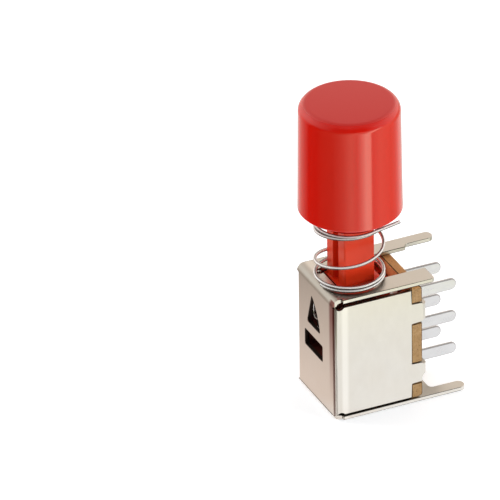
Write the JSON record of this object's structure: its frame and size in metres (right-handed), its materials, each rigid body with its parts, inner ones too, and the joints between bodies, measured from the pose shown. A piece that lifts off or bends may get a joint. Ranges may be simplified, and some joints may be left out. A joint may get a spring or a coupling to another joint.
{
  "type": "self-locking push button switch",
  "caption": "Latching push switch: folded steel frame, terminal board with two rows of solder pins, coil return spring and a round push-on button cap.",
  "frame": {"origin": "on the plunger's axis, at the outer face of the frame's rear plate", "axes": "+Z along the plunger, towards the button's top; +X towards the solder pins; +Y towards the side with the front plate's leg"},
  "size_m": [0.0149, 0.0098, 0.0316],
  "materials": {
    "frame_tin": "matt tin plate on sheet steel",
    "board_laminate": "brown phenolic paper laminate",
    "terminal_silver": "silver-plated, satin",
    "slider_red": "moulded red plastic",
    "cap_red": "glossy red sides, finely textured top",
    "spring_steel": "bright drawn spring wire",
    "latch_steel": "drawn steel wire",
    "clip_bronze": "rolled contact bronze"
  },
  "bodies": {
    "switch_body": {"frame": "frame_tin", "terminal_board": "board_laminate", "terminal_near_1": "terminal_silver", "terminal_near_2": "terminal_silver", "terminal_near_3": "terminal_silver", "terminal_far_1": "terminal_silver", "terminal_far_2": "terminal_silver", "terminal_far_3": "terminal_silver", "return_spring": "spring_steel"},
    "plunger": {"slider": "slider_red", "button_cap": "cap_red", "contact_clip_near": "clip_bronze", "contact_clip_far": "clip_bronze"},
    "latch": {"latch_wire": "latch_steel"}
  },
  "joints": [
    {"name": "button_press", "type": "slide", "parent": "switch_body", "child": "plunger", "axis": [0, 0, -1], "range_m": [0, 0.0036], "stiffness_N_per_m": 400, "springref_m": -0.004, "deforming": ["return_spring"]},
    {"name": "latch_swing", "type": "hinge", "parent": "switch_body", "child": "latch", "pos_m": [-0.0025, 0.00162, 0.0129], "axis": [-1, 0, 0], "range_deg": [0, 12.7]}
  ]
}
